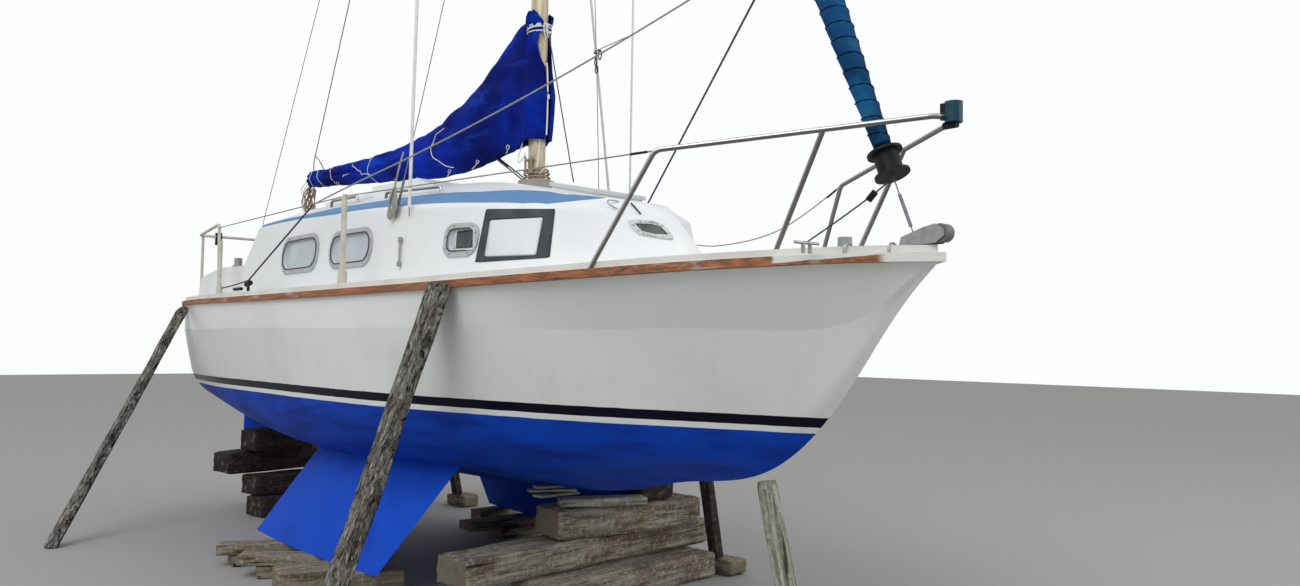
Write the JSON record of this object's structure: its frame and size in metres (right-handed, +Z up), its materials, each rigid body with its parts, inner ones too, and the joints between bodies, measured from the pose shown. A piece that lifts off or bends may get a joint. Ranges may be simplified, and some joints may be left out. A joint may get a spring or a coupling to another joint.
{
  "type": "twin-keel sailing yacht",
  "caption": "Small twin-keel cruising yacht laid up ashore, with coachroof, mast, stowed mainsail, furled headsail, rails, rudder and the timbers that hold it.",
  "frame": {"origin": "on the ground, midway between the port and starboard props, and midway between the rudder's tail and the bow lantern's front", "axes": "+X towards the bow, +Y to port, +Z up"},
  "size_m": [7.5576, 4.3514, 10.6],
  "materials": {
    "spar_alloy": "weathered",
    "stainless": "satin",
    "lantern_teal": "satin",
    "roller_black": "matt",
    "roof_gelcoat": "gloss",
    "door_wood": "varnished",
    "engine_paint": "satin",
    "hatch_white": "satin",
    "hatch_grey": "satin",
    "post_pale": "weathered",
    "timber_grey": "weathered",
    "sail_cloth": "matt",
    "drum_black": "matt",
    "rail_tube": "polished",
    "runner_alloy": "satin",
    "gelcoat": "gloss",
    "plank_brown": "weathered",
    "antifouling": "matt",
    "locker_white": "satin",
    "post_alloy": "satin",
    "bronze": "satin",
    "prop_bark": "rough",
    "strake_wood": "weathered",
    "rudder_wood": "painted",
    "cover_canvas": "matt",
    "stay_wire": "satin",
    "timber_dark": "weathered",
    "moulding_white": "satin",
    "winch_metal": "worn",
    "window_alloy": "satin",
    "window_glass": "gloss"
  },
  "bodies": {
    "boat": {"bow_fitting": "stainless", "bow_lantern": "lantern_teal", "cabin_bulkhead": "roof_gelcoat", "coachroof": "roof_gelcoat", "coachroof_nose": "roof_gelcoat", "cockpit_coaming": "roof_gelcoat", "engine": "engine_paint", "fore_hatch_coaming": "hatch_white", "fore_post": "post_pale", "fore_timbers": "timber_grey", "furled_sail": "sail_cloth", "furling_drum": "drum_black", "gooseneck": "stainless", "grab_rails": "rail_tube", "hatch_garage": "hatch_white", "hatch_runners": "runner_alloy", "hull": "gelcoat", "keel_planks": "plank_brown", "keel_port": "antifouling", "keel_starboard": "antifouling", "mast": "spar_alloy", "mooring_post": "post_alloy", "props_port": "prop_bark", "props_starboard": "prop_bark", "pulpit": "rail_tube", "pushpit": "rail_tube", "rubbing_strake": "strake_wood", "rudder_hangings": "stainless", "shaft_bracket": "bronze", "stanchions": "rail_tube", "stays": "stay_wire", "stern_timbers": "timber_dark", "toe_moulding": "moulding_white", "winches": "winch_metal", "window_frames": "window_alloy", "window_panes": "window_glass"},
    "rudder": {"rudder": "rudder_wood"},
    "boom": {"boom": "spar_alloy", "sail_cover": "cover_canvas"},
    "sliding_hatch": {"sliding_hatch": "hatch_white"},
    "door_port": {"door_port": "door_wood"},
    "door_starboard": {"door_starboard": "door_wood"},
    "fore_hatch": {"fore_hatch_lid": "hatch_grey"},
    "locker_lid_port": {"locker_lid_port": "locker_white"},
    "locker_lid_starboard": {"locker_lid_starboard": "locker_white"},
    "propeller": {"propeller": "bronze"},
    "bow_roller": {"bow_roller": "roller_black"}
  },
  "joints": [
    {"name": "rudder_swing", "type": "hinge", "parent": "boat", "child": "rudder", "pos_m": [-3.45316, 0, 1.4], "axis": [0, 0, 1], "range_deg": [-76, 0]},
    {"name": "boom_swing", "type": "hinge", "parent": "boat", "child": "boom", "pos_m": [0.57384, 0, 2.94], "axis": [0, 0, 1], "range_deg": [-62, 58]},
    {"name": "hatch_slide", "type": "slide", "parent": "boat", "child": "sliding_hatch", "axis": [1, 0, 0], "range_m": [0, 0.66]},
    {"name": "door_port_hinge", "type": "hinge", "parent": "boat", "child": "door_port", "pos_m": [-1.92956, 0.293, 2.26], "axis": [0, 0, 1], "range_deg": [-95, 0]},
    {"name": "door_starboard_hinge", "type": "hinge", "parent": "boat", "child": "door_starboard", "pos_m": [-1.92956, -0.293, 2.26], "axis": [0, 0, 1], "range_deg": [0, 95]},
    {"name": "fore_hatch_hinge", "type": "hinge", "parent": "boat", "child": "fore_hatch", "pos_m": [1.51926, 0, 2.4191], "axis": [0, 1, 0], "range_deg": [0, 100]},
    {"name": "locker_port_hinge", "type": "hinge", "parent": "boat", "child": "locker_lid_port", "pos_m": [-2.49116, 0.7, 1.8704], "axis": [1, 0, 0], "range_deg": [-80, 0]},
    {"name": "locker_starboard_hinge", "type": "hinge", "parent": "boat", "child": "locker_lid_starboard", "pos_m": [-2.49116, -0.7, 1.8704], "axis": [1, 0, 0], "range_deg": [0, 80]},
    {"name": "propeller_spin", "type": "hinge", "parent": "boat", "child": "propeller", "pos_m": [-2.69116, 0, 0.6], "axis": [0.9817, 0, 0.1904], "continuous": true},
    {"name": "bow_roller_spin", "type": "hinge", "parent": "boat", "child": "bow_roller", "pos_m": [3.68884, 0, 2.042], "axis": [0, 1, 0], "continuous": true}
  ]
}
